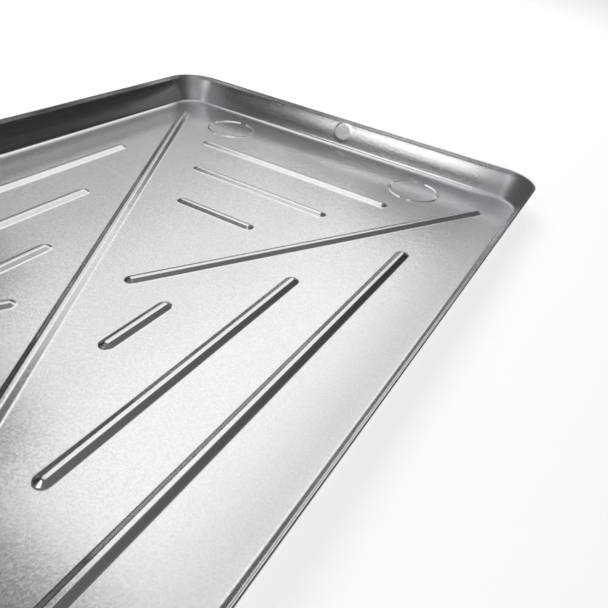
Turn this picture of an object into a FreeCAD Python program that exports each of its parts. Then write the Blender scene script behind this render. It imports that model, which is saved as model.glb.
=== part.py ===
import FreeCAD, Part
import math
import os

import Sketcher

# A pressed steel drain pan with its drain fitting.
# Frame: millimetres, +Z up, +Y along the pan, the origin under the middle of the floor.

vec = FreeCAD.Vector

# Driving dimensions: alias, value, meaning.
DIMENSIONS = [
    ("pan_width", 762.0, "over the rolled rim, along X"),
    ("pan_length", 1371.6, "over the rolled rim, along Y"),
    ("pan_height", 50.8, "from the underside to the top of the rim"),
    ("sheet_gauge", 0.7, "thickness of the galvanised sheet"),
    ("rim_roll", 3.4, "outside diameter of the rolled edge"),
    ("rim_turn", 100.0, "degrees below +X where the roll ends"),
    ("wall_lean", 20.0, "degrees that the wall leans outward"),
    ("foot_radius", 7.0, "inside radius where the floor turns up into the wall"),
    ("foot_inset", 24.0, "from the outside of the rim to the flat floor"),
    ("floor_corner", 38.0, "corner radius of the flat floor, in plan"),
    ("rib_width", 21.0, "width of a rib at the floor"),
    ("rib_rise", 4.2, "height of a rib above the floor"),
    ("rib_slope", 61.0, "degrees from upright to the side of a rib"),
    ("long_rib_one", 97.0, "first lengthwise rib, from the middle"),
    ("long_rib_two", 181.5, "second lengthwise rib"),
    ("long_rib_three", 266.3, "third lengthwise rib"),
    ("long_end_one", 55.0, "half length of the first lengthwise rib"),
    ("long_end_two", 199.0, "second lengthwise rib, from the middle to its +Y end"),
    ("long_start_two", 209.0, "second lengthwise rib, from the middle to its -Y end"),
    ("long_end_three", 364.0, "half length of the third lengthwise rib"),
    ("cross_rib_one", 268.0, "first crosswise rib, from the middle"),
    ("cross_rib_two", 380.0, "second crosswise rib"),
    ("cross_rib_three", 483.5, "third crosswise rib"),
    ("cross_end_one", 69.0, "half length of the first crosswise rib"),
    ("cross_end_two", 127.5, "half length of the second crosswise rib"),
    ("cross_end_three", 186.0, "half length of the third crosswise rib"),
    ("diagonal_turn", 61.97, "degrees from X to a diagonal rib"),
    ("diagonal_reach", 665.0, "half length of a diagonal rib"),
    ("diagonal_gap", 58.7, "from the middle to the inner end of the broken diagonal"),
    ("ring_across", 193.8, "centre of a broken ring, along X"),
    ("ring_along", 578.9, "centre of a broken ring, along Y"),
    ("ring_radius", 42.5, "middle line of a broken ring"),
    ("dash_width", 4.6, "width of a dash of the ring"),
    ("dash_middle", 45.0, "degrees from X to the middle of a dash"),
    ("dash_turn", 34.5, "degrees from the middle of a dash to its round end's centre"),
    ("dash_rise", 1.4, "height of a dash"),
    ("dash_count", 4, "dashes in a ring"),
    ("flat_diameter", 38.0, "round flat in a wall, where it leaves the wall"),
    ("flat_height", 27.0, "middle of a round flat above the underside"),
    ("flat_depth", 1.5, "how far a flat is pressed inward"),
    ("press_slope", 45.0, "degrees of slope around a flat or a dash"),
    ("drain_hole", 27.4, "hole through one flat"),
    ("thread_diameter", 26.4, "outside of the male thread"),
    ("thread_pitch", 1.814, "pipe thread with 14 turns to the inch"),
    ("thread_depth", 1.1, "depth of the thread"),
    ("groove_width", 1.52, "opening of the thread's groove where its cutter ends"),
    ("groove_reach", 0.19, "how far the groove's cutter stands out of the thread's crests"),
    ("shank_length", 19.5, "threaded shank, from the hexagon to its end"),
    ("water_bore", 20.8, "bore through the adapter"),
    ("gasket_diameter", 34.0, "outside of the gasket"),
    ("gasket_gauge", 2.5, "thickness of the gasket"),
    ("hexagon_flats", 34.0, "across the flats of the adapter and of the locknut"),
    ("hexagon_height", 6.5, "length of the adapter's hexagon"),
    ("socket_outside", 32.8, "outside of the pipe socket"),
    ("socket_bore", 26.9, "inside of the pipe socket"),
    ("socket_depth", 18.0, "depth of the pipe socket"),
    ("nut_height", 6.0, "thickness of the locknut"),
    ("thread_clearance", 0.1, "from the thread's crests to the nut and the gasket"),
    ("edge_break", 0.8, "chamfer on the plastic fitting"),
]


class Size:
    """A number together with the sheet formula that it comes from."""

    def __init__(self, value, formula):
        self.value = value
        self.formula = formula

    def joined(self, mark, other, value):
        right = other.formula if isinstance(other, Size) else str(other)
        return Size(value, f"({self.formula} {mark} {right})")

    def __add__(self, other):
        return self.joined("+", other, self.value + number(other))

    def __sub__(self, other):
        return self.joined("-", other, self.value - number(other))

    def __mul__(self, other):
        return self.joined("*", other, self.value * number(other))

    def __truediv__(self, other):
        return self.joined("/", other, self.value / number(other))

    def __neg__(self):
        return Size(-self.value, f"(-1 * {self.formula})")


def number(size):
    return size.value if isinstance(size, Size) else size


def sine(size):
    return Size(math.sin(math.radians(size.value)), f"sin({size.formula})")


def cosine(size):
    return Size(math.cos(math.radians(size.value)), f"cos({size.formula})")


def make_sheet(doc):
    """Write the driving dimensions, one row each, and return them as sizes."""
    sheet = doc.addObject("Spreadsheet::Sheet", "Sheet")
    for row, (alias, value, meaning) in enumerate(DIMENSIONS, start=1):
        sheet.set(f"A{row}", meaning)
        sheet.set(f"B{row}", str(value))
        sheet.setAlias(f"B{row}", alias)
    doc.recompute()
    return {alias: Size(float(sheet.get(alias)), f"Sheet.{alias}") for alias, _, _ in DIMENSIONS}


# Sketches


def add_sketch(body, name, role="XY_Plane", base=(0, 0, 0), axis=(1, 0, 0), turn=0):
    """A sketch on one of the body's own planes, moved by base and turned about axis."""
    sketch = body.newObject("Sketcher::SketchObject", name)
    plane = next(item for item in body.Origin.OriginFeatures if item.Role == role)
    sketch.AttachmentSupport = [(plane, "")]
    sketch.MapMode = "FlatFace"
    place = vec(*[number(part) for part in base])
    sketch.AttachmentOffset = FreeCAD.Placement(place, FreeCAD.Rotation(vec(*axis), number(turn)))
    for letter, part in zip("xyz", base):
        if isinstance(part, Size):
            sketch.setExpression(f"AttachmentOffset.Base.{letter}", part.formula)
    if isinstance(turn, Size):
        sketch.setExpression("AttachmentOffset.Rotation.Angle", turn.formula)
    return sketch


def constrain(sketch, kind, *where):
    sketch.addConstraint(Sketcher.Constraint(kind, *where))


def measure(sketch, kind, *where_and_size):
    """Add a dimension to a sketch and bind it to its formula."""
    *where, size = where_and_size
    index = sketch.addConstraint(Sketcher.Constraint(kind, *where, size.value))
    sketch.setExpression(f"Constraints[{index}]", size.formula)


def fix_point(sketch, edge, end, x, y):
    """Place an edge's point; a plain zero puts it on the axis."""
    for kind, size, axis in (("DistanceX", x, -2), ("DistanceY", y, -1)):
        if isinstance(size, Size):
            measure(sketch, kind, edge, end, size)
        else:
            constrain(sketch, "PointOnObject", edge, end, axis)


def point(x, y):
    return vec(number(x), number(y), 0)


def line(start, end):
    return Part.LineSegment(start, end)


def arc(centre, radius, start, end):
    """An arc from start to end degrees, anticlockwise."""
    circle = Part.Circle(centre, vec(0, 0, 1), radius)
    return Part.ArcOfCircle(circle, math.radians(start), math.radians(end))


def add_chain(sketch, pieces):
    """Add edges that follow each other, and return their indexes.

    A piece is (geometry, first point, last point, joint to the next piece): the points
    are the sketcher's numbers for the two ends, in the direction of travel.
    """
    ids = [sketch.addGeometry(piece[0], False) for piece in pieces]
    for index, (_, _, last, joint) in enumerate(pieces):
        after = (index + 1) % len(pieces)
        constrain(sketch, joint, ids[index], last, ids[after], pieces[after][1])
    return ids


def draw_polygon(sketch, corners):
    """A closed outline with straight sides and every corner bound."""
    spots = [point(x, y) for x, y in corners]
    sides = [line(start, end) for start, end in zip(spots, spots[1:] + spots[:1])]
    ids = add_chain(sketch, [(side, 1, 2, "Coincident") for side in sides])
    for edge, (x, y) in zip(ids, corners):
        fix_point(sketch, edge, 1, x, y)


def draw_slot(sketch, first, last, width):
    """A slot with round ends, whose centres are first and last."""
    start, end = point(*first), point(*last)
    heading = math.degrees(math.atan2(end.y - start.y, end.x - start.x))
    radius = width.value / 2
    side = FreeCAD.Rotation(vec(0, 0, 1), heading).multVec(vec(0, radius, 0))
    ids = add_chain(sketch, [
        (arc(end, radius, heading - 90, heading + 90), 1, 2, "Tangent"),
        (line(end + side, start + side), 1, 2, "Tangent"),
        (arc(start, radius, heading + 90, heading + 270), 1, 2, "Tangent"),
        (line(start - side, end - side), 1, 2, "Tangent"),
    ])
    constrain(sketch, "Equal", ids[0], ids[2])
    measure(sketch, "Radius", ids[0], width / 2)
    fix_point(sketch, ids[0], 3, *last)
    fix_point(sketch, ids[2], 3, *first)


def draw_circle(sketch, diameter):
    """A circle about the sketch's origin."""
    edge = sketch.addGeometry(Part.Circle(vec(0, 0, 0), vec(0, 0, 1), diameter.value / 2), False)
    constrain(sketch, "Coincident", edge, 3, -1, 1)
    measure(sketch, "Diameter", edge, diameter)


def draw_hexagon(sketch, flats):
    """A hexagon about the sketch's origin, with two corners on the X axis."""
    corner = flats / math.sqrt(3)
    half, high = corner / 2, flats / 2
    draw_polygon(sketch, [(corner, 0), (half, high), (-half, high),
                          (-corner, 0), (-half, -high), (half, -high)])


# Features


def add_feature(body, kind, name, sketch, **bindings):
    """A PartDesign feature on a sketch; sizes are bound and other values are set."""
    feature = body.newObject(f"PartDesign::{kind}", name)
    feature.Profile = (sketch, [""])
    for key, value in bindings.items():
        if isinstance(value, Size):
            setattr(feature, key, value.value)
            feature.setExpression(key, value.formula)
        else:
            setattr(feature, key, value)
    sketch.Visibility = False
    return feature


def press(body, name, draw, far, near, rise, slope):
    """Press a shape out of the sheet: raise its near face and hollow its far face.

    far and near are the places of the sketches on the sheet's two faces.
    """
    near_sketch = add_sketch(body, f"{name}_near", **near)
    draw(near_sketch)
    raised = add_feature(body, "Pad", f"{name}_raised", near_sketch, Length=rise, TaperAngle=-slope)
    far_sketch = add_sketch(body, f"{name}_far", **far)
    draw(far_sketch)
    hollow = add_feature(body, "Pocket", f"{name}_hollow", far_sketch,
                         Length=rise, TaperAngle=-slope, Reversed=True)
    return raised, hollow


# The pan


def draw_floor_outline(sketch, size):
    """The edge of the flat floor: a rectangle with round corners, about the origin."""
    corner = size["floor_corner"]
    in_x = size["pan_width"] / 2 - size["foot_inset"] - corner
    in_y = size["pan_length"] / 2 - size["foot_inset"] - corner
    pieces = []
    for turn, (sign_x, sign_y) in enumerate([(1, -1), (1, 1), (-1, 1), (-1, -1)]):
        centre = point(in_x * sign_x, in_y * sign_y)
        start = 270 + 90 * turn
        pieces.append((arc(centre, corner.value, start, start + 90), 1, 2, "Tangent"))
        spin = FreeCAD.Rotation(vec(0, 0, 1), start + 90)
        reach = 2 * (in_y.value if turn % 2 == 0 else in_x.value)
        begin = centre + spin.multVec(vec(corner.value, 0, 0))
        pieces.append((line(begin, begin + spin.multVec(vec(0, reach, 0))), 1, 2, "Tangent"))
    ids = add_chain(sketch, pieces)
    for edge in ids[2::2]:
        constrain(sketch, "Equal", ids[0], edge)
    measure(sketch, "Radius", ids[0], corner)
    fix_point(sketch, ids[2], 3, in_x, in_y)
    fix_point(sketch, ids[6], 3, -in_x, -in_y)
    for edge in (ids[1], ids[5]):
        constrain(sketch, "Vertical", edge)
    for edge in (ids[3], ids[7]):
        constrain(sketch, "Horizontal", edge)


def draw_wall_section(sketch, size):
    """Section of the wall at +X: foot bend, leaning wall, upright lip and rolled edge."""
    gauge, foot, roll = size["sheet_gauge"], size["foot_radius"], size["rim_roll"] / 2
    lean, turn = size["wall_lean"], size["rim_turn"]
    floor_x = size["pan_width"] / 2 - size["foot_inset"]
    foot_middle = point(floor_x, foot + gauge)
    roll_middle = point(size["pan_width"] / 2 - roll, size["pan_height"] - roll)
    tilt = FreeCAD.Rotation(vec(0, 0, 1), -lean.value)

    def sheet_face(depth):
        """Foot end, bend and roll start on a face of the sheet, depth below its inside."""
        wall_start = foot_middle + tilt.multVec(vec(foot.value + depth, 0, 0))
        lip_x = roll_middle.x - roll.value + depth
        climb = (lip_x - wall_start.x) / math.tan(math.radians(lean.value))
        return wall_start, vec(lip_x, wall_start.y + climb, 0), vec(lip_x, roll_middle.y, 0)

    near_wall, near_bend, near_roll = sheet_face(0)
    far_wall, far_bend, far_roll = sheet_face(gauge.value)
    end_ray = FreeCAD.Rotation(vec(0, 0, 1), -turn.value).multVec(vec(1, 0, 0))
    near_end = roll_middle + end_ray * roll.value
    far_end = roll_middle + end_ray * (roll.value - gauge.value)
    ids = add_chain(sketch, [
        (arc(foot_middle, foot.value, 270, 360 - lean.value), 1, 2, "Tangent"),
        (line(near_wall, near_bend), 1, 2, "Coincident"),
        (line(near_bend, near_roll), 1, 2, "Tangent"),
        (arc(roll_middle, roll.value, -turn.value, 180), 2, 1, "Coincident"),
        (line(near_end, far_end), 1, 2, "Coincident"),
        (arc(roll_middle, roll.value - gauge.value, -turn.value, 180), 1, 2, "Tangent"),
        (line(far_roll, far_bend), 1, 2, "Coincident"),
        (line(far_bend, far_wall), 1, 2, "Tangent"),
        (arc(foot_middle, foot.value + gauge.value, 270, 360 - lean.value), 2, 1, "Coincident"),
        (line(point(floor_x, 0), point(floor_x, gauge)), 1, 2, "Coincident"),
    ])
    (foot_near, wall_near, lip_near, roll_near, roll_end,
     roll_far, lip_far, wall_far, foot_far, floor_edge) = ids
    for edge in (lip_near, lip_far, floor_edge):
        constrain(sketch, "Vertical", edge)
    constrain(sketch, "Parallel", wall_near, wall_far)
    constrain(sketch, "Coincident", foot_near, 3, foot_far, 3)
    constrain(sketch, "Coincident", roll_near, 3, roll_far, 3)
    constrain(sketch, "PointOnObject", roll_near, 3, roll_end)
    constrain(sketch, "Vertical", foot_near, 1, foot_near, 3)
    measure(sketch, "Radius", foot_near, foot)
    measure(sketch, "Radius", foot_far, foot + gauge)
    measure(sketch, "Radius", roll_near, roll)
    measure(sketch, "Radius", roll_far, roll - gauge)
    fix_point(sketch, floor_edge, 1, floor_x, 0)
    fix_point(sketch, roll_near, 3, size["pan_width"] / 2 - roll, size["pan_height"] - roll)
    tan_lean = sine(lean) / cosine(lean)
    climb = (size["foot_inset"] - size["rim_roll"] - foot * cosine(lean)) / tan_lean
    measure(sketch, "DistanceY", wall_near, 1, wall_near, 2, climb)
    measure(sketch, "DistanceX", roll_near, 3, roll_near, 1, roll * cosine(turn))


def rib_slots(size):
    """Centres of the round ends of every rib, as (first, last) pairs."""
    inset = size["rib_width"] / 2
    slots = []
    for rib, start, end in (("one", "end_one", "end_one"), ("two", "start_two", "end_two"),
                            ("three", "end_three", "end_three")):
        x = size[f"long_rib_{rib}"]
        low, high = size[f"long_{start}"] - inset, size[f"long_{end}"] - inset
        slots += [((side, -low), (side, high)) for side in (x, -x)]
    for rib in ("one", "two", "three"):
        y, reach = size[f"cross_rib_{rib}"], size[f"cross_end_{rib}"] - inset
        slots += [((-reach, side), (reach, side)) for side in (y, -y)]
    turn = size["diagonal_turn"]
    outer, inner = size["diagonal_reach"] - inset, size["diagonal_gap"] + inset
    far_x, far_y = outer * cosine(turn), outer * sine(turn)
    near_x, near_y = inner * cosine(turn), inner * sine(turn)
    slots.append(((far_x, -far_y), (-far_x, far_y)))
    slots.append(((near_x, near_y), (far_x, far_y)))
    slots.append(((-far_x, -far_y), (-near_x, -near_y)))
    return slots


def draw_dash(sketch, size):
    """One dash of a broken ring about the sketch's origin: a curved slot across +X."""
    radius, half, turn = size["ring_radius"], size["dash_width"] / 2, size["dash_turn"]
    middle, span = vec(0, 0, 0), turn.value
    x, y = radius * cosine(turn), radius * sine(turn)
    ids = add_chain(sketch, [
        (arc(middle, radius.value + half.value, -span, span), 1, 2, "Tangent"),
        (arc(point(x, y), half.value, span, span + 180), 1, 2, "Tangent"),
        (arc(middle, radius.value - half.value, -span, span), 2, 1, "Tangent"),
        (arc(point(x, -y), half.value, 180 - span, 360 - span), 1, 2, "Tangent"),
    ])
    constrain(sketch, "Coincident", ids[0], 3, -1, 1)
    constrain(sketch, "Coincident", ids[2], 3, -1, 1)
    measure(sketch, "Radius", ids[0], radius + half)
    measure(sketch, "Radius", ids[2], radius - half)
    measure(sketch, "DistanceY", ids[1], 3, y)
    measure(sketch, "DistanceY", ids[3], 3, -y)


def add_rings(body, size):
    """Press one dash, then repeat it around its ring and mirror the ring into the four corners."""
    across, along = size["ring_across"], size["ring_along"]
    turned = {"axis": (0, 0, 1), "turn": size["dash_middle"]}
    far = {"base": (across, along, 0), **turned}
    near = {"base": (across, along, size["sheet_gauge"]), **turned}
    dash = press(body, "dash", lambda sketch: draw_dash(sketch, size),
                 far, near, size["dash_rise"], size["press_slope"])
    rings = body.newObject("PartDesign::MultiTransform", "rings")
    rings.Originals = list(dash)
    around = body.newObject("PartDesign::PolarPattern", "ring_around")
    around.Axis = (dash[0].Profile[0], ["N_Axis"])
    around.Occurrences = int(size["dash_count"].value)
    around.setExpression("Occurrences", size["dash_count"].formula)
    mirrors = []
    for role in ("YZ_Plane", "XZ_Plane"):
        mirror = body.newObject("PartDesign::Mirrored", f"ring_mirror_{role[:2]}")
        plane = next(item for item in body.Origin.OriginFeatures if item.Role == role)
        mirror.MirrorPlane = (plane, [""])
        mirrors.append(mirror)
    rings.Transformations = [around] + mirrors
    body.Tip = rings


def wall_flat_places(size):
    """Where to draw each round flat: its name, and its sketches' places on the far and near face."""
    half_x = size["pan_width"] / 2 - size["foot_inset"]
    half_y = size["pan_length"] / 2 - size["foot_inset"]
    turn = -size["wall_lean"] + 90
    places = []
    for name, cross, side, spin in (("right", 1, 1, -turn), ("left", 1, -1, turn),
                                    ("far", 0, 1, turn), ("near", 0, -1, -turn)):
        sketches = []
        for depth in (Size(0.0, "0"), size["sheet_gauge"]):
            run, height = face_of_flat(size, depth)
            base = ((half_x + run) * side, 0, height) if cross else (0, (half_y + run) * side, height)
            axis = (0, 1, 0) if cross else (1, 0, 0)
            sketches.append({"base": base, "axis": axis, "turn": spin})
        places.append((name, *sketches))
    return places


def make_pan(doc, size):
    body = doc.addObject("PartDesign::Body", "pan")
    outline = add_sketch(body, "floor_outline")
    draw_floor_outline(outline, size)
    add_feature(body, "Pad", "floor", outline, Length=size["sheet_gauge"])
    section = add_sketch(body, "wall_section", "XZ_Plane")
    draw_wall_section(section, size)
    doc.recompute()
    edges = [f"Edge{index}" for index in range(1, len(outline.Shape.Edges) + 1)]
    add_feature(body, "AdditivePipe", "wall", section, Spine=(outline, edges))

    def draw_ribs(sketch):
        for first, last in rib_slots(size):
            draw_slot(sketch, first, last, size["rib_width"])

    press(body, "ribs", draw_ribs, {}, {"base": (0, 0, size["sheet_gauge"])},
          size["rib_rise"], size["rib_slope"])
    add_rings(body, size)
    places = wall_flat_places(size)
    for name, far, near in places:
        press(body, f"flat_{name}", lambda sketch: draw_circle(sketch, size["flat_diameter"]),
              far, near, size["flat_depth"], size["press_slope"])
    hole = add_sketch(body, "drain_hole_outline", **places[-1][1])
    draw_circle(hole, size["drain_hole"])
    add_feature(body, "Pocket", "drain_hole", hole, Length=size["flat_depth"] * 2, Reversed=True)
    return body


def face_of_flat(size, depth):
    """Distance out from the flat floor's edge, and height, of a flat's middle.

    depth is measured inward from the outer face of the wall.
    """
    lean, outside = size["wall_lean"], size["foot_radius"] + size["sheet_gauge"]
    rise = size["flat_height"] - outside * (-sine(lean) + 1)
    run = outside * cosine(lean) + rise * sine(lean) / cosine(lean)
    return run - depth * cosine(lean), size["flat_height"] + depth * sine(lean)


# The drain fitting: every piece is drawn about its own Z axis, which points out of the pan,
# with zero at the outer face of the flat.


def add_fitting_body(doc, name, size):
    """A body on the axis of the drain hole."""
    body = doc.addObject("PartDesign::Body", name)
    run, height = face_of_flat(size, size["flat_depth"])
    y, tilt = -(size["pan_length"] / 2 - size["foot_inset"] + run), size["wall_lean"] + 90
    rotation = FreeCAD.Rotation(vec(1, 0, 0), tilt.value)
    body.Placement = FreeCAD.Placement(vec(0, y.value, height.value), rotation)
    for path, part in (("Base.y", y), ("Base.z", height), ("Rotation.Angle", tilt)):
        body.setExpression(f"Placement.{path}", part.formula)
    return body


def turn_on_axis(body, kind, name, corners):
    """Revolve a section, given as (radius, height) corners, about the body's Z axis."""
    sketch = add_sketch(body, f"{name}_section", "XZ_Plane")
    draw_polygon(sketch, corners)
    return add_feature(body, kind, name, sketch, ReferenceAxis=(sketch, ["V_Axis"]), Angle=360)


def break_hexagon(body, size, face, inward):
    """Chamfer the six corners at a face; inward is +1 or -1 along Z, into the hexagon."""
    corner = size["hexagon_flats"] / math.sqrt(3)
    depth = size["edge_break"]
    turn_on_axis(body, "Groove", "corner_break", [
        (corner - depth * 2, face), (corner + depth * 2, face - depth * inward),
        (corner + depth * 2, face + depth * 2 * inward)])


def make_gasket(doc, size):
    body = add_fitting_body(doc, "drain_gasket", size)
    inner = size["thread_diameter"] / 2 + size["thread_clearance"]
    outer, gauge = size["gasket_diameter"] / 2, size["gasket_gauge"]
    turn_on_axis(body, "Revolution", "ring", [(inner, 0), (outer, 0), (outer, gauge), (inner, gauge)])
    return body


def make_locknut(doc, size):
    body = add_fitting_body(doc, "drain_locknut", size)
    face, height = -size["sheet_gauge"], size["nut_height"]
    outline = add_sketch(body, "hexagon_outline", base=(0, 0, face - height))
    draw_hexagon(outline, size["hexagon_flats"])
    draw_circle(outline, size["thread_diameter"] + size["thread_clearance"] * 2)
    add_feature(body, "Pad", "hexagon", outline, Length=height)
    break_hexagon(body, size, face - height, 1)
    return body


def make_adapter(doc, size):
    body = add_fitting_body(doc, "drain_adapter", size)
    low, depth = size["gasket_gauge"], size["edge_break"]
    shank_end, high = low - size["shank_length"], low + size["hexagon_height"]
    top = high + size["socket_depth"]
    water, socket = size["water_bore"] / 2, size["socket_bore"] / 2
    thread, outside = size["thread_diameter"] / 2, size["socket_outside"] / 2
    turn_on_axis(body, "Revolution", "tube", [
        (water, shank_end),
        (thread - size["thread_depth"], shank_end),
        (thread, shank_end + size["thread_depth"]),
        (thread, low),
        (outside, low),
        (outside, top - depth),
        (outside - depth, top),
        (socket + depth, top),
        (socket, top - depth),
        (socket, high),
        (water, high)])
    outline = add_sketch(body, "hexagon_outline", base=(0, 0, low))
    draw_hexagon(outline, size["hexagon_flats"])
    draw_circle(outline, size["thread_diameter"])
    add_feature(body, "Pad", "hexagon", outline, Length=size["hexagon_height"])
    break_hexagon(body, size, high, -1)
    cut_thread(body, size, shank_end)
    return body


def cut_thread(body, size, start):
    """Cut a V thread into the shank, from its end to the inner face of the pan."""
    pitch, depth, crest = size["thread_pitch"], size["thread_depth"], size["thread_diameter"] / 2
    groove = add_sketch(body, "thread_section", "XZ_Plane")
    half, outside = size["groove_width"] / 2, crest + size["groove_reach"]
    draw_polygon(groove, [(crest - depth, start), (outside, start + half), (outside, start - half)])
    run = size["shank_length"] - size["gasket_gauge"] - size["sheet_gauge"]
    add_feature(body, "SubtractiveHelix", "thread", groove, ReferenceAxis=(groove, ["V_Axis"]),
                Mode=0, Pitch=pitch, Height=run)


def check(doc, bodies):
    """Stop if a feature failed or a body is empty or broken."""
    for item in doc.Objects:
        if "Invalid" in item.State or "Error" in item.State:
            raise RuntimeError(f"{item.Label}: {item.State}")
    for body in bodies:
        if body.Shape.isNull() or not body.Shape.isValid() or len(body.Shape.Solids) != 1:
            raise RuntimeError(f"{body.Label}: its shape is not one sound solid")


def main():
    doc = FreeCAD.newDocument("DrainPan")
    size = make_sheet(doc)
    makers = (make_pan, make_adapter, make_gasket, make_locknut)
    bodies = [make(doc, size) for make in makers]
    doc.recompute()
    check(doc, bodies)
    os.makedirs("parts", exist_ok=True)
    for body in bodies:
        body.Shape.exportStep(f"parts/{body.Label}.step")
        print(body.Label, round(body.Shape.Volume), body.Shape.optimalBoundingBox(False, False))


main()
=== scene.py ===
import math

import bmesh
import bpy
from mathutils import Matrix, Vector, noise
from mathutils.geometry import delaunay_2d_cdt


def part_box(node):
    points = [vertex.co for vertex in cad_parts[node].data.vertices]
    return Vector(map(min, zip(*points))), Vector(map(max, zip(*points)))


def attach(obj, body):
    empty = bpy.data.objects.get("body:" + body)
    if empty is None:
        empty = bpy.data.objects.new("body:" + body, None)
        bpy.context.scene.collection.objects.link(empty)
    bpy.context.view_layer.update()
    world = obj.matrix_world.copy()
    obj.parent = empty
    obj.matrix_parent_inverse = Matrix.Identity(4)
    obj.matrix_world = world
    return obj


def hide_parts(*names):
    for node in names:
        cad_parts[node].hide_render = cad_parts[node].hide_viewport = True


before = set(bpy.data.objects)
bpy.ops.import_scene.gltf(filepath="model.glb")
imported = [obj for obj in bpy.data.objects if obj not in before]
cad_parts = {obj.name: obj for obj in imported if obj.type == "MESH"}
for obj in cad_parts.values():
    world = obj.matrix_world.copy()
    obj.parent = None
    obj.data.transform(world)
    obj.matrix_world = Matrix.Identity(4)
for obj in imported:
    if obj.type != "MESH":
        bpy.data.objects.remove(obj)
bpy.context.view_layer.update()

# A pressed galvanised drain pan. Lengths are in millimetres here and become metres through MM.
MM = 0.001
PAN_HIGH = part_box("pan")[1] / MM
HALF_WIDTH, HALF_LENGTH, HEIGHT = PAN_HIGH.x, PAN_HIGH.y, PAN_HIGH.z

# The sheet and its wall
GAUGE = 0.7
LEAN = math.radians(20)
FOOT_RADIUS = 7.0
FOOT_INSET = 24.0
FLOOR_CORNER = 38.0
RIM_ROLL = 1.7
RIM_END = math.radians(-100)
LIP_BEND_RADIUS = 4.0

# The walls belly inward a little between two heights
BELLY = 0.4
BELLY_FROM = 5.0
BELLY_TO = 43.0

# The ribs, as (distance from the middle, -end, +end) or (distance from the middle, reach)
RIB_HALF_WIDTH = 10.5
RIB_RISE = 4.2
RIB_SLOPE = math.radians(33)
RIB_FOOT = 5.0
RIB_CREST = 4.0
LONG_RIBS = ((97.0, 55.0, 55.0), (181.5, 209.0, 199.0), (266.3, 364.0, 364.0))
CROSS_RIBS = ((268.0, 69.0), (380.0, 127.5), (483.5, 186.0))
DIAGONAL = math.radians(61.97)
DIAGONAL_REACH = 665.0
DIAGONAL_GAP = 58.7

# The broken rings
RING_PLACE = (193.8, 578.9)
RING_RADIUS = 42.5
DASH_HALF_WIDTH = 2.8
DASH_RISE = 1.45
DASH_SLOPE = math.radians(40)
DASH_FOOT = 0.5
DASH_CREST = 1.0
DASH_MIDDLE = math.radians(45)
DASH_TURN = math.radians(34.5)
DASHES = 4

# The round flats in the walls: the one with the drain fitting is pressed deeper than the blank ones
FLAT_RADIUS = 19.4
FLAT_EDGE = 4.0
FLAT_HEIGHT = 27.0
DRAIN_FLAT_DEPTH = 1.5
BLANK_FLAT_DEPTH = 0.5
DRAIN_HOLE = 13.7
HOLE_CUTTER_DEPTH = 9.0

# The floor domes up a little from its edge, unevenly
DOME_RISE = 0.6
DOME_REACH = 60.0
DOME_UNEVEN = 0.2
WAVE_LENGTH = 190.0

# How finely the sheet is meshed: steps are counts, the rest are lengths
RIB_SPACING = 18.0
RIB_STEPS = 5
RIB_END_STEPS = 14
RIB_MARGIN = 1.5
DASH_POINTS = 19
DASH_STEPS = 4
DASH_END_STEPS = 8
DASH_MARGIN = 0.6
SMALLEST_STEP = 0.02
FOOT_STEPS = 12
WALL_STEPS = 24
LIP_STEPS = 3
RIM_STEPS = 18
CORNER_STEPS = 28
FINE_REACH = 26.0
FINE_STEP = 1.3
COARSE_STEP = 22.0
FLOOR_STEP = 22.0
FLOOR_MARGIN = 12.0
CORNER_MARGIN = 6.0
RIDGE_MARGIN = 5.0
JOIN_DISTANCE = 1e-6
HOLE_SEGMENTS = 64
SMOOTH_ANGLE = math.radians(60)

# The zinc coating: scales are in repeats per metre, depths in millimetres
SPANGLE_SCALE = 560.0
SPANGLE_TILT = 0.021
SPANGLE_SHADE = 0.7
SPANGLE_ROUGHNESS = 0.015
CLOUD_SCALE = 9.0
CLOUD_SHADE = 0.3
CLOUD_ROUGHNESS = 0.02
GRAIN_SCALE = 800.0
GRAIN_DEPTH = 0.03
STREAK_STRETCH = (2.0, 2.0, 160.0)
STREAK_DEPTH = 0.07
STREAK_ROUGHNESS = (0.18, 0.22)
ZINC_BUMP = 0.5
ZINC_DARK = (0.66, 0.67, 0.69)
ZINC_LIGHT = (0.78, 0.79, 0.80)

# Toward the walls the sheet is drawn and turns duller, most of all in the corners, where its colour is also
# darkened as painted shade
DULL_AND_SHADE_FROM = (255.0, 600.0)
DULL_AND_SHADE_TO = (335.0, 660.0)
EDGE_ROUGHNESS = 0.02
CORNER_ROUGHNESS = 0.18
CORNER_PAINTED_SHADE = (0.66, 0.67, 0.69)

# The fitting's plastic
PLASTIC_DARK = (0.80, 0.80, 0.76)
PLASTIC_LIGHT = (0.87, 0.87, 0.84)
PLASTIC_CLOUD_SCALE = 60.0
PLASTIC_SKIN_SCALE = 1800.0
PLASTIC_SKIN_DEPTH = 0.03
PLASTIC_BUMP = 0.3
PLASTIC_ROUGHNESS = (0.28, 0.36)
PLASTIC_IOR = 1.53
PLASTIC_GLOW_SHARE = 0.05
PLASTIC_GLOW_DEPTH = 1.5

# The gasket's rubber
RUBBER_DARK = (0.018, 0.018, 0.019)
RUBBER_LIGHT = (0.045, 0.045, 0.046)
RUBBER_DUST_SCALE = 120.0
RUBBER_SKIN_SCALE = 2500.0
RUBBER_SKIN_DEPTH = 0.04
RUBBER_BUMP = 0.4
RUBBER_ROUGHNESS = (0.55, 0.7)

# The studio, in metres; brightness is in units of display white
STUDIO_FLOOR = 16.0
STUDIO_FLOOR_HEIGHT = -0.0005
FLOOR_SHADE = 0.93
FLOOR_ROUGHNESS = 0.9
FLOOR_GLOW = 0.62
HORIZON = (0.03, 0.03, 0.032)
ZENITH = (0.17, 0.17, 0.175)
BACKDROP = (1.0, 1.0, 1.0)
SKY_FROM = 0.4
SKY_TO = 0.85

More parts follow.
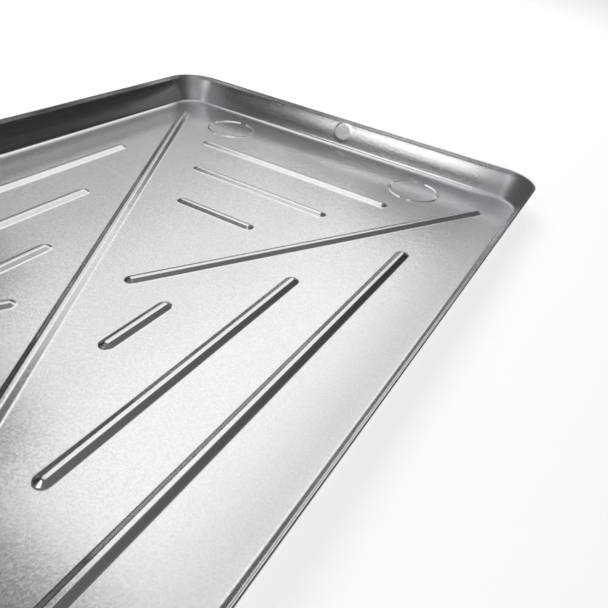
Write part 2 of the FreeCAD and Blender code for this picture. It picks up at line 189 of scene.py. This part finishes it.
# Soft boxes that face down from a height, as (place, width and length, brightness)
OVERHEAD = 1.5
OVERHEAD_BOXES = (
    ((-0.65, 1.85), (0.8, 3.1), 1.14),
    ((-0.05, 1.95), (0.4, 3.9), 0.82),
    ((-1.50, 2.25), (0.9, 3.1), 0.98),
    ((-2.70, 2.8), (1.5, 2.8), 0.6),
)
# and soft boxes on stands, as (place, aim, width and height, brightness)
STANDING_BOXES = (
    ((-0.62, -1.51, 1.46), (0.15, 0.67, 0.0), (1.05, 1.2), 2.1),
    ((2.6, -2.6, 1.1), (0.0, 0.0, 0.0), (4.0, 1.8), 0.7),
)

# The camera: place, aim and roll, all about the top of the floor
CAMERA_PLACE = Vector((480.4, -401.3, 423.8 + GAUGE)) * MM
CAMERA_AIM = Vector((218.7, 156.0, GAUGE)) * MM
CAMERA_ROLL = math.radians(8.85)
LENS = 36.5


def clamp(value):
    return min(max(value, 0.0), 1.0)


def smoothstep(value):
    value = clamp(value)
    return value * value * (3 - 2 * value)


def ray(turn):
    """The direction at an angle, anticlockwise from +X."""
    return Vector((math.cos(turn), math.sin(turn)))


# Ridges


def ridge_profile(half_width, rise, slope, foot, crest, steps, margin):
    """Half section of a pressed ridge, from its middle outward, as (distance, height).

    slope is its steepest angle, foot and crest are the radii that round it off.
    """
    side = (rise - (foot + crest) * (1 - math.cos(slope))) / math.sin(slope)
    flat = half_width - (foot + crest) * math.sin(slope) - side * math.cos(slope)
    points = [(0.0, rise)]
    for step in range(steps + 1):
        turn = slope * step / steps
        points.append((flat + crest * math.sin(turn), rise - crest * (1 - math.cos(turn))))
    for step in range(steps + 1):
        turn = slope * (1 - step / steps)
        points.append((half_width - foot * math.sin(turn), foot * (1 - math.cos(turn))))
    points.append((half_width + margin, 0.0))
    apart = [point for last, point in zip(points, points[1:]) if point[0] > last[0] + SMALLEST_STEP]
    return points[:1] + apart


def straight_path(start, end):
    """Points and headings along a straight line."""
    start, end = Vector(start), Vector(end)
    count = max(2, round((end - start).length / RIB_SPACING) + 1)
    heading = (end - start).normalized()
    return [(start.lerp(end, index / (count - 1)), heading) for index in range(count)]


def arc_path(centre, radius, start, end, count):
    """Points and headings along an arc, anticlockwise."""
    path = []
    for index in range(count):
        out = ray(start + (end - start) * index / (count - 1))
        path.append((Vector(centre) + out * radius, Vector((-out.y, out.x))))
    return path


class Sheet:
    """Vertices and faces of the pan's inside surface, in millimetres above the floor's top."""

    def __init__(self):
        self.points = []
        self.faces = []
        self.holes = []

    def add(self, x, y, z):
        self.points.append((x, y, z))
        return len(self.points) - 1

    def outline(self, loop):
        """A loop of vertices seen from above."""
        return [Vector(self.points[index][:2]) for index in loop]

    def add_ridge(self, path, profile, end_steps):
        """Add a ridge along a path, with round ends, and leave room for it in the floor."""
        middle = [self.add(*point, profile[0][1]) for point, _ in path]
        inner = None
        for distance, height in profile[1:]:
            loop = self.ridge_outline(path, distance, end_steps)
            ids = [self.add(*point, height) for point in loop]
            if inner is None:
                self.fill_crest(middle, ids, end_steps)
            else:
                self.bridge(inner, ids)
            inner = ids
        self.holes.append(inner)

    def ridge_outline(self, path, distance, end_steps):
        """A closed loop at one distance from a ridge's middle line."""
        right = [point + distance * Vector((heading.y, -heading.x)) for point, heading in path]
        left = [point - distance * Vector((heading.y, -heading.x)) for point, heading in path]
        far_end = self.cap(path[-1], distance, end_steps)
        near_end = self.cap((path[0][0], -path[0][1]), distance, end_steps)
        return right + far_end + left[::-1] + near_end

    @staticmethod
    def cap(end, distance, steps):
        """Points between the two sides round the end of a ridge."""
        centre, heading = end
        side = Vector((heading.y, -heading.x))
        turns = [math.pi * step / steps for step in range(1, steps)]
        return [centre + distance * (side * math.cos(turn) + heading * math.sin(turn)) for turn in turns]

    def bridge(self, inner, outer):
        """Quads between two closed loops of the same length, anticlockwise from above."""
        count = len(inner)
        for index in range(count):
            after = (index + 1) % count
            self.faces.append((inner[index], outer[index], outer[after], inner[after]))

    def fill_crest(self, middle, loop, end_steps):
        """Close a ridge's first loop onto the line of points along its middle."""
        count, caps = len(middle), end_steps - 1
        back = loop[count + caps:2 * count + caps][::-1]
        for index in range(count - 1):
            self.faces.append((middle[index], loop[index], loop[index + 1], middle[index + 1]))
            self.faces.append((middle[index], middle[index + 1], back[index + 1], back[index]))
        for centre, start in ((middle[-1], count - 1), (middle[0], 2 * count + caps - 1)):
            for step in range(end_steps):
                first, second = (start + step) % len(loop), (start + step + 1) % len(loop)
                self.faces.append((centre, loop[first], loop[second]))


def add_ribs(sheet):
    profile = ridge_profile(RIB_HALF_WIDTH, RIB_RISE, RIB_SLOPE, RIB_FOOT, RIB_CREST, RIB_STEPS, RIB_MARGIN)
    inset = RIB_HALF_WIDTH
    lines = []
    for x, low, high in LONG_RIBS:
        lines += [((side * x, inset - low), (side * x, high - inset)) for side in (1, -1)]
    for y, reach in CROSS_RIBS:
        lines += [((inset - reach, side * y), (reach - inset, side * y)) for side in (1, -1)]
    outer, inner = ray(DIAGONAL) * (DIAGONAL_REACH - inset), ray(DIAGONAL) * (DIAGONAL_GAP + inset)
    lines += [((-outer.x, outer.y), (outer.x, -outer.y)), (inner, outer), (-inner, -outer)]
    for start, end in lines:
        sheet.add_ridge(straight_path(start, end), profile, RIB_END_STEPS)


def add_rings(sheet):
    profile = ridge_profile(
        DASH_HALF_WIDTH, DASH_RISE, DASH_SLOPE, DASH_FOOT, DASH_CREST, DASH_STEPS, DASH_MARGIN)
    for side_x in (1, -1):
        for side_y in (1, -1):
            centre = (side_x * RING_PLACE[0], side_y * RING_PLACE[1])
            for dash in range(DASHES):
                turn = DASH_MIDDLE + 2 * math.pi * dash / DASHES
                path = arc_path(centre, RING_RADIUS, turn - DASH_TURN, turn + DASH_TURN, DASH_POINTS)
                sheet.add_ridge(path, profile, DASH_END_STEPS)


# The wall, its foot and its rim


def arc(centre, radius, start, end, steps):
    """Points along an arc, without its first one."""
    turns = [start + (end - start) * step / steps for step in range(1, steps + 1)]
    return [centre + radius * ray(turn) for turn in turns]


def line(start, end, steps):
    """Points along a straight line, without its first one."""
    return [start.lerp(end, step / steps) for step in range(1, steps + 1)]


def wall_profile():
    """Inside line of the wall from the flat floor's edge, as (distance out, height)."""
    lip = FOOT_INSET - 2 * RIM_ROLL
    roll = Vector((lip + RIM_ROLL, HEIGHT - GAUGE - RIM_ROLL))
    foot_end = Vector((FOOT_RADIUS * math.cos(LEAN), FOOT_RADIUS * (1 - math.sin(LEAN))))
    bend = Vector((lip, foot_end.y + (lip - foot_end.x) / math.tan(LEAN)))
    cut = LIP_BEND_RADIUS * math.tan(LEAN / 2)
    bend_start = bend + (foot_end - bend).normalized() * cut
    bend_end = bend + Vector((0, cut))
    bend_centre = bend_end - Vector((LIP_BEND_RADIUS, 0))
    points = [Vector((0, 0))]
    points += arc(Vector((0, FOOT_RADIUS)), FOOT_RADIUS, math.radians(-90), -LEAN, FOOT_STEPS)
    points += line(foot_end, bend_start, WALL_STEPS)
    points += arc(bend_centre, LIP_BEND_RADIUS, -LEAN, 0.0, LIP_STEPS)
    points += line(bend_end, Vector((lip, roll.y)), LIP_STEPS)
    points += arc(roll, RIM_ROLL, math.pi, RIM_END, RIM_STEPS)
    return points


def spread(half):
    """Distances from the middle of a wall: fine around the round flat, coarse further out."""
    count = round(FINE_REACH / FINE_STEP)
    inner = [FINE_REACH * index / count for index in range(-count, count + 1)]
    steps = round((half - FINE_REACH) / COARSE_STEP)
    outer = [FINE_REACH + (half - FINE_REACH) * index / steps for index in range(1, steps + 1)]
    return [-value for value in reversed(outer)] + inner + outer


def perimeter():
    """Round the flat floor's edge, anticlockwise: point, outward direction, distance along its wall."""
    in_x = HALF_WIDTH - FOOT_INSET - FLOOR_CORNER
    in_y = HALF_LENGTH - FOOT_INSET - FLOOR_CORNER
    samples = []
    for turn, (side_x, side_y) in enumerate(((1, 1), (-1, 1), (-1, -1), (1, -1))):
        half, across = (in_y, in_x) if turn % 2 == 0 else (in_x, in_y)
        angle = math.radians(90 * turn)
        out = ray(angle)
        along = Vector((-out.y, out.x))
        foot = out * (across + FLOOR_CORNER)
        samples += [(foot + along * value, out, value) for value in spread(half)]
        centre = Vector((side_x * in_x, side_y * in_y))
        for step in range(1, CORNER_STEPS):
            corner_out = ray(angle + math.radians(90) * step / CORNER_STEPS)
            samples.append((centre + corner_out * FLOOR_CORNER, corner_out, None))
    return samples


def wall_push(along, out, height):
    """How far a wall point moves inward: the wall's belly, or the round flat pressed in its middle."""
    part = clamp((height - BELLY_FROM) / (BELLY_TO - BELLY_FROM))
    push = BELLY * math.sin(math.pi * part) ** 2
    if along is None:
        return push
    depth = DRAIN_FLAT_DEPTH if out.y < 0 else BLANK_FLAT_DEPTH
    reach = math.hypot(along, (height + GAUGE - FLAT_HEIGHT) / math.cos(LEAN))
    return push + (depth - push) * smoothstep((FLAT_RADIUS - reach) / FLAT_EDGE)


def add_wall(sheet):
    """Sweep the wall's profile round the floor, and return the floor's edge."""
    samples = perimeter()
    rows = []
    for across, height in wall_profile():
        row = []
        for foot, out, along in samples:
            inward = Vector((-out.x * math.cos(LEAN), -out.y * math.cos(LEAN), math.sin(LEAN)))
            place = Vector((foot.x + out.x * across, foot.y + out.y * across, height))
            row.append(sheet.add(*(place + inward * wall_push(along, out, height))))
        rows.append(row)
    for lower, upper in zip(rows, rows[1:]):
        sheet.bridge(lower, upper)
    return rows[0]


# The floor


def distance_to(spot, start, end):
    """Distance from a spot to a straight stretch."""
    along = end - start
    share = clamp((spot - start).dot(along) / along.length_squared)
    return (start + along * share - spot).length


def inside(spot, ring, margin=0.0):
    """Whether a spot is inside a closed outline, or nearer to it than a margin."""
    xs, ys = [point.x for point in ring], [point.y for point in ring]
    if not (min(xs) - margin < spot.x < max(xs) + margin and min(ys) - margin < spot.y < max(ys) + margin):
        return False
    odd = False
    for start, end in zip(ring, ring[1:] + ring[:1]):
        if margin and distance_to(spot, start, end) < margin:
            return True
        if (start.y > spot.y) != (end.y > spot.y):
            crossing = start.x + (spot.y - start.y) * (end.x - start.x) / (end.y - start.y)
            odd ^= crossing > spot.x
    return odd


def floor_spots(ridges):
    """Spots of an even grid on the floor, clear of its rounded edge and of the ridges."""
    edge_x, edge_y = HALF_WIDTH - FOOT_INSET, HALF_LENGTH - FOOT_INSET
    half_x, half_y = edge_x - FLOOR_MARGIN, edge_y - FLOOR_MARGIN
    columns, lines = round(2 * half_x / FLOOR_STEP), round(2 * half_y / FLOOR_STEP)
    spots = []
    for column in range(columns + 1):
        for row in range(lines + 1):
            spot = Vector((half_x * (2 * column / columns - 1), half_y * (2 * row / lines - 1)))
            corner = Vector((max(abs(spot.x) - edge_x + FLOOR_CORNER, 0),
                             max(abs(spot.y) - edge_y + FLOOR_CORNER, 0)))
            near_corner = corner.length > FLOOR_CORNER - CORNER_MARGIN
            if not near_corner and not any(inside(spot, ridge, RIDGE_MARGIN) for ridge in ridges):
                spots.append(spot)
    return spots


def add_floor(sheet, edge):
    """Fill the flat floor between its edge and the ridges."""
    outline = sheet.outline(edge)
    ridges = [sheet.outline(hole) for hole in sheet.holes]
    coords, links, ids = [], [], []
    for loop in [edge] + sheet.holes:
        start, count = len(coords), len(loop)
        coords += sheet.outline(loop)
        links += [(start + index, start + (index + 1) % count) for index in range(count)]
        ids += loop
    for spot in floor_spots(ridges):
        coords.append(spot)
        ids.append(sheet.add(*spot, 0.0))
    filled = delaunay_2d_cdt(coords, links, [], 0, JOIN_DISTANCE, True)
    corners, faces, origins = filled[0], filled[2], filled[3]
    for face in faces:
        middle = sum((corners[index] for index in face), Vector((0, 0))) / len(face)
        if inside(middle, outline) and not any(inside(middle, ridge) for ridge in ridges):
            sheet.faces.append(tuple(ids[origins[index][0]] for index in face))


def lift(point):
    """Raise a point of the sheet onto its top face, and by the floor's uneven dome."""
    x, y, z = point
    share = 1.0
    for from_edge in (HALF_WIDTH - FOOT_INSET - abs(x), HALF_LENGTH - FOOT_INSET - abs(y)):
        share *= 1 - math.exp(-max(from_edge, 0) / DOME_REACH)
    wave = 1 + DOME_UNEVEN * noise.noise(Vector((x, y, 0)) / WAVE_LENGTH)
    return Vector((x, y, z + GAUGE + DOME_RISE * wave * share))


# The finished pan


def build_pan():
    sheet = Sheet()
    add_ribs(sheet)
    add_rings(sheet)
    add_floor(sheet, add_wall(sheet))
    mesh = bpy.data.meshes.new("pan_sheet")
    mesh.from_pydata([lift(point) * MM for point in sheet.points], [], sheet.faces)
    pan = bpy.data.objects.new("pan_sheet", mesh)
    bpy.context.scene.collection.objects.link(pan)
    shell = pan.modifiers.new("thickness", "SOLIDIFY")
    shell.thickness = GAUGE * MM
    shell.offset = -1
    shell.use_even_offset = True
    cut_drain_hole(pan)
    pan.data.polygons.foreach_set("use_smooth", [True] * len(pan.data.polygons))
    pan.data.set_sharp_from_angle(angle=SMOOTH_ANGLE)
    return pan


def cut_drain_hole(pan):
    """Cut the hole for the drain fitting through the round flat in the wall at -Y."""
    hole = bmesh.new()
    radius = DRAIN_HOLE * MM
    bmesh.ops.create_cone(hole, cap_ends=True, segments=HOLE_SEGMENTS, radius1=radius,
                          radius2=radius, depth=HOLE_CUTTER_DEPTH * MM)
    middle = Vector((0, -HALF_LENGTH + FOOT_INSET - wall_run(FLAT_HEIGHT), FLAT_HEIGHT)) * MM
    turn = Matrix.Rotation(math.radians(90) + LEAN, 4, "X")
    hole.transform(Matrix.Translation(middle) @ turn)
    mesh = bpy.data.meshes.new("hole_cutter")
    hole.to_mesh(mesh)
    hole.free()
    cutter = bpy.data.objects.new("hole_cutter", mesh)
    bpy.context.scene.collection.objects.link(cutter)
    cut = pan.modifiers.new("drain_hole", "BOOLEAN")
    cut.operation = "DIFFERENCE"
    cut.solver = "EXACT"
    cut.object = cutter
    bake_modifiers(pan)
    bpy.data.objects.remove(cutter)
    bpy.data.meshes.remove(mesh)


def bake_modifiers(item):
    """Replace an object's mesh with what its modifiers make of it."""
    scene_state = bpy.context.evaluated_depsgraph_get()
    baked = bpy.data.meshes.new_from_object(item.evaluated_get(scene_state))
    bare = item.data
    item.modifiers.clear()
    item.data = baked
    bpy.data.meshes.remove(bare)
    baked.name = item.name


def wall_run(height):
    """Distance out from the flat floor's edge to the wall's outer face, at a height."""
    outside = FOOT_RADIUS + GAUGE
    rise = height - outside * (1 - math.sin(LEAN))
    return outside * math.cos(LEAN) + rise * math.tan(LEAN)


# Materials


class Graph:
    """A material and short calls for adding nodes to it."""

    def __init__(self, name):
        self.material = bpy.data.materials.new(name)
        self.material.use_nodes = True
        self.tree = self.material.node_tree
        self.shader = self.tree.nodes["Principled BSDF"]

    def add(self, kind, inputs, **settings):
        """Add a node; an input is a number, a colour or another node's socket."""
        node = self.tree.nodes.new(kind)
        for name, value in settings.items():
            setattr(node, name, value)
        self.fill(node, inputs)
        return node

    def fill(self, node, inputs):
        """Set or link a node's inputs."""
        for name, value in inputs.items():
            if isinstance(value, bpy.types.NodeSocket):
                self.tree.links.new(value, node.inputs[name])
            else:
                node.inputs[name].default_value = value

    def place(self, stretch=(1, 1, 1)):
        """The object's own coordinates, stretched."""
        spot = self.add("ShaderNodeTexCoord", {}).outputs["Object"]
        return self.add("ShaderNodeMapping", {"Vector": spot, "Scale": stretch}).outputs["Vector"]

    def noise(self, place, scale, detail):
        node = self.add("ShaderNodeTexNoise", {"Vector": place, "Scale": scale, "Detail": detail})
        return node.outputs["Fac"]

    def spread(self, value, low, high, start=0.3, end=0.7, kind="LINEAR"):
        """Map a value from start..end to low..high."""
        inputs = {"Value": value, "From Min": start, "From Max": end, "To Min": low, "To Max": high}
        return self.add("ShaderNodeMapRange", inputs, interpolation_type=kind).outputs["Result"]

    def share(self, value, low, high):
        """Map a value from 0..1 to low..high."""
        return self.spread(value, low, high, 0.0, 1.0)

    def sum(self, first, second):
        return self.add("ShaderNodeMath", {0: first, 1: second}, operation="ADD").outputs[0]

    def vector(self, operation, inputs):
        return self.add("ShaderNodeVectorMath", inputs, operation=operation).outputs[0]

    def bump(self, height, strength, depth, **inputs):
        """A bump of a depth in millimetres."""
        levels = {"Height": height, "Strength": strength, "Distance": depth * MM}
        return self.add("ShaderNodeBump", {**levels, **inputs}).outputs[0]

    def colours(self, value, first, second):
        """A blend of two colours, each a colour or another node's socket."""
        node = self.add("ShaderNodeMix", {"Factor": value}, data_type="RGBA")
        ends = [end if isinstance(end, bpy.types.NodeSocket) else (*end, 1) for end in (first, second)]
        self.fill(node, dict(zip((6, 7), ends)))
        return node.outputs[2]


def dull_and_shade_shares(graph, place):
    """How far a place is toward the walls, and toward a corner: both from 0 to 1."""
    axes = graph.add("ShaderNodeSeparateXYZ", {"Vector": place})
    shares = []
    for axis, start, end in zip("XY", DULL_AND_SHADE_FROM, DULL_AND_SHADE_TO):
        distance = graph.add("ShaderNodeMath", {0: axes.outputs[axis]}, operation="ABSOLUTE").outputs[0]
        shares.append(graph.spread(distance, 0.0, 1.0, start * MM, end * MM, "SMOOTHSTEP"))
    return [graph.add("ShaderNodeMath", dict(enumerate(shares)), operation=operation).outputs[0]
            for operation in ("MAXIMUM", "MULTIPLY")]


def crystal_normal(graph, crystals):
    """The surface's normal, leaning another way in each zinc crystal."""
    tilt = graph.vector("SUBTRACT", {0: crystals.outputs["Color"], 1: (0.5, 0.5, 0.5)})
    lean = graph.vector("SCALE", {0: tilt, "Scale": SPANGLE_TILT})
    normal = graph.add("ShaderNodeNewGeometry", {}).outputs["Normal"]
    return graph.vector("NORMALIZE", {0: graph.vector("ADD", {0: normal, 1: lean})})


def galvanised():
    """Zinc coated sheet: small flat crystals, a fine grain, soft streaks along the walls and painted shade
    darkening the corners.
    """
    graph = Graph("galvanised_sheet")
    place = graph.place()
    crystals = graph.add("ShaderNodeTexVoronoi", {
        "Vector": place, "Scale": SPANGLE_SCALE, "Randomness": 1.0})
    crystal = graph.add("ShaderNodeSeparateColor", {"Color": crystals.outputs["Color"]})
    cloud = graph.noise(place, CLOUD_SCALE, 3.0)
    streaks = graph.noise(graph.place(STREAK_STRETCH), 1.0, 1.0)
    grain = graph.noise(place, GRAIN_SCALE, 2.0)
    edge, corner = dull_and_shade_shares(graph, place)
    shade = graph.sum(graph.share(crystal.outputs[0], 0.0, SPANGLE_SHADE),
                      graph.spread(cloud, 0.0, CLOUD_SHADE))
    rough = graph.sum(graph.spread(cloud, 0.0, CLOUD_ROUGHNESS), graph.spread(streaks, *STREAK_ROUGHNESS))
    rough = graph.sum(rough, graph.share(crystal.outputs[1], -SPANGLE_ROUGHNESS, SPANGLE_ROUGHNESS))
    rough = graph.sum(rough, graph.share(edge, 0.0, EDGE_ROUGHNESS))
    rough = graph.sum(rough, graph.share(corner, 0.0, CORNER_ROUGHNESS))
    zinc = graph.colours(shade, ZINC_DARK, ZINC_LIGHT)
    fine = graph.bump(grain, ZINC_BUMP, GRAIN_DEPTH, Normal=crystal_normal(graph, crystals))
    graph.fill(graph.shader, {
        # In the corners the colour is darkened toward a darker zinc: painted shade
        "Base Color": graph.colours(corner, zinc, CORNER_PAINTED_SHADE),
        "Metallic": 1.0,
        "Roughness": rough,
        "Normal": graph.bump(streaks, ZINC_BUMP, STREAK_DEPTH, Normal=fine)})
    return graph.material


def moulded_plastic():
    """White pipe plastic with faint clouding and the satin skin of a mould."""
    graph = Graph("white_pvc")
    place = graph.place()
    cloud = graph.noise(place, PLASTIC_CLOUD_SCALE, 3.0)
    skin = graph.noise(place, PLASTIC_SKIN_SCALE, 2.0)
    graph.fill(graph.shader, {
        "Base Color": graph.colours(graph.spread(cloud, 0.0, 1.0), PLASTIC_DARK, PLASTIC_LIGHT),
        "Roughness": graph.spread(skin, *PLASTIC_ROUGHNESS),
        "IOR": PLASTIC_IOR,
        "Subsurface Weight": PLASTIC_GLOW_SHARE,
        "Subsurface Scale": PLASTIC_GLOW_DEPTH * MM,
        "Normal": graph.bump(skin, PLASTIC_BUMP, PLASTIC_SKIN_DEPTH)})
    return graph.material


def rubber():
    """Black moulded rubber with a dusty, slightly uneven skin."""
    graph = Graph("black_rubber")
    place = graph.place()
    dust = graph.noise(place, RUBBER_DUST_SCALE, 4.0)
    skin = graph.noise(place, RUBBER_SKIN_SCALE, 2.0)
    graph.fill(graph.shader, {
        "Base Color": graph.colours(graph.spread(dust, 0.0, 1.0), RUBBER_DARK, RUBBER_LIGHT),
        "Roughness": graph.spread(dust, *RUBBER_ROUGHNESS),
        "Normal": graph.bump(skin, RUBBER_BUMP, RUBBER_SKIN_DEPTH)})
    return graph.material


# The studio


def add_studio_floor():
    mesh = bpy.data.meshes.new("studio_floor")
    half, low = STUDIO_FLOOR / 2, STUDIO_FLOOR_HEIGHT
    mesh.from_pydata([(-half, -half, low), (half, -half, low), (half, half, low), (-half, half, low)],
                     [], [(0, 1, 2, 3)])
    floor = bpy.data.objects.new("studio_floor", mesh)
    bpy.context.scene.collection.objects.link(floor)
    graph = Graph("studio_floor")
    graph.fill(graph.shader, {
        "Base Color": (FLOOR_SHADE, FLOOR_SHADE, FLOOR_SHADE, 1),
        "Roughness": FLOOR_ROUGHNESS,
        "Emission Color": (1, 1, 1, 1),
        "Emission Strength": FLOOR_GLOW})
    mesh.materials.append(graph.material)


def pointing(place, aim):
    """Placement of something at a place whose -Z looks at aim."""
    return Matrix.Translation(place) @ (aim - place).to_track_quat("-Z", "Y").to_matrix().to_4x4()


def add_camera():
    data = bpy.data.cameras.new("camera")
    data.lens = LENS
    camera = bpy.data.objects.new("camera", data)
    bpy.context.scene.collection.objects.link(camera)
    camera.matrix_world = pointing(CAMERA_PLACE, CAMERA_AIM) @ Matrix.Rotation(CAMERA_ROLL, 4, "Z")
    bpy.context.scene.camera = camera


def add_light(name, place, aim, size, brightness):
    """A rectangular soft box of even brightness."""
    data = bpy.data.lights.new(name, "AREA")
    data.shape = "RECTANGLE"
    data.size, data.size_y = size
    data.energy = brightness * math.pi * size[0] * size[1]
    light = bpy.data.objects.new(name, data)
    bpy.context.scene.collection.objects.link(light)
    light.matrix_world = pointing(Vector(place), Vector(aim))


def add_lights():
    boxes = []
    for spot, size, brightness in OVERHEAD_BOXES:
        boxes.append(((*spot, OVERHEAD), (*spot, 0.0), size, brightness))
    for number, box in enumerate((*boxes, *STANDING_BOXES), start=1):
        add_light(f"soft_box_{number}", *box)


def add_world():
    """Dim surroundings, so that the sheet's slopes turn dark, behind a pale backdrop."""
    world = bpy.data.worlds.new("studio")
    bpy.context.scene.world = world
    world.use_nodes = True
    nodes, links = world.node_tree.nodes, world.node_tree.links
    direction = nodes.new("ShaderNodeTexCoord")
    height = nodes.new("ShaderNodeSeparateXYZ")
    share = nodes.new("ShaderNodeMapRange")
    share.inputs["From Min"].default_value = SKY_FROM
    share.inputs["From Max"].default_value = SKY_TO
    sky = nodes.new("ShaderNodeMix")
    sky.data_type = "RGBA"
    sky.inputs[6].default_value = (*HORIZON, 1)
    sky.inputs[7].default_value = (*ZENITH, 1)
    seen_by = nodes.new("ShaderNodeLightPath")
    seen = nodes.new("ShaderNodeMix")
    seen.data_type = "RGBA"
    seen.inputs[7].default_value = (*BACKDROP, 1)
    links.new(direction.outputs["Generated"], height.inputs[0])
    links.new(height.outputs["Z"], share.inputs["Value"])
    links.new(share.outputs["Result"], sky.inputs[0])
    links.new(sky.outputs[2], seen.inputs[6])
    links.new(seen_by.outputs["Is Camera Ray"], seen.inputs[0])
    links.new(seen.outputs[2], nodes["Background"].inputs["Color"])


def main():
    pan = build_pan()
    pan.data.materials.append(galvanised())
    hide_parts("pan")
    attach(pan, "root")
    plastic = moulded_plastic()
    looks = {"drain_adapter": plastic, "drain_locknut": plastic, "drain_gasket": rubber()}
    for name, material in looks.items():
        node = bpy.data.objects[name]
        node.data.materials.clear()
        node.data.materials.append(material)
    add_studio_floor()
    add_camera()
    add_lights()
    add_world()
    bpy.context.scene.view_settings.view_transform = "Standard"


main()
